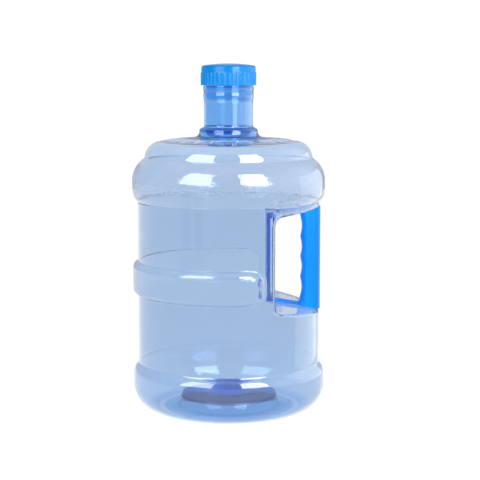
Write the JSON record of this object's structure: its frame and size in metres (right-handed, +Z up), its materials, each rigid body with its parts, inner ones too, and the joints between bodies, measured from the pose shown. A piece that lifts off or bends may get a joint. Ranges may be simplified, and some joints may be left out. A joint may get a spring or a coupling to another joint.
{
  "type": "large water jug",
  "caption": "Round clear blue water jug with proud rings, a long neck with a screw cap, and a moulded grip set into a hand recess in its side.",
  "frame": {"origin": "on the jug's axis, at the level of the surface that it stands on", "axes": "+Z up along the jug's axis, +X towards the handle"},
  "size_m": [0.219, 0.219, 0.3937],
  "materials": {
    "shell_plastic": "clear, glossy, pale blue",
    "handle_plastic": "satin, saturated blue",
    "cap_plastic": "satin, saturated blue",
    "liner_rubber": "soft, off-white"
  },
  "bodies": {
    "jug": {"bottle_shell": "shell_plastic", "handle_insert": "handle_plastic"},
    "liner": {"cap_liner": "liner_rubber"},
    "cap": {"cap_shell": "cap_plastic"}
  },
  "joints": [
    {"name": "cap_lift", "type": "slide", "parent": "jug", "child": "liner", "axis": [0, 0, 1], "range_m": [0, 0.0075]},
    {"name": "cap_turn", "type": "hinge", "parent": "liner", "child": "cap", "pos_m": [0, 0, 0.38], "axis": [0, 0, 1], "range_deg": [0, 450]}
  ],
  "couplings": [
    {"joint": "cap_lift", "follows": "cap_turn", "m_per_rad": 0.00095492}
  ]
}
